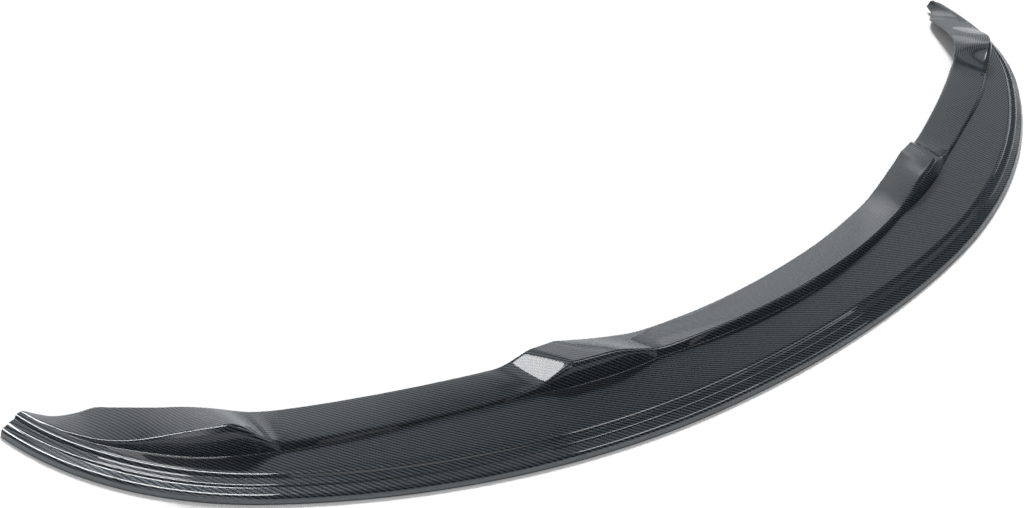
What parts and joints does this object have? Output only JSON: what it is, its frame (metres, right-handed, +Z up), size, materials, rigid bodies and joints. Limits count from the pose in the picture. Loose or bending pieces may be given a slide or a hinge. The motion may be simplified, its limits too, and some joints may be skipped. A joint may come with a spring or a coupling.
{
  "type": "front splitter lip",
  "caption": "Long curved front splitter lip: a gloss carbon-look shell with a stepped front edge, a broad blade and a humped rear flange that fits under a car's bumper.",
  "frame": {"origin": "on the ground plane, in the middle of the lip's width and half way from its nose to its tips", "axes": "+X across the car, +Y towards the back of the car, +Z up"},
  "size_m": [1.7848, 0.5076, 0.0608],
  "materials": {
    "gloss_carbon": "gloss clear coat over a twill carbon weave print"
  },
  "bodies": {
    "root": {"splitter_lip": "gloss_carbon"}
  },
  "joints": []
}
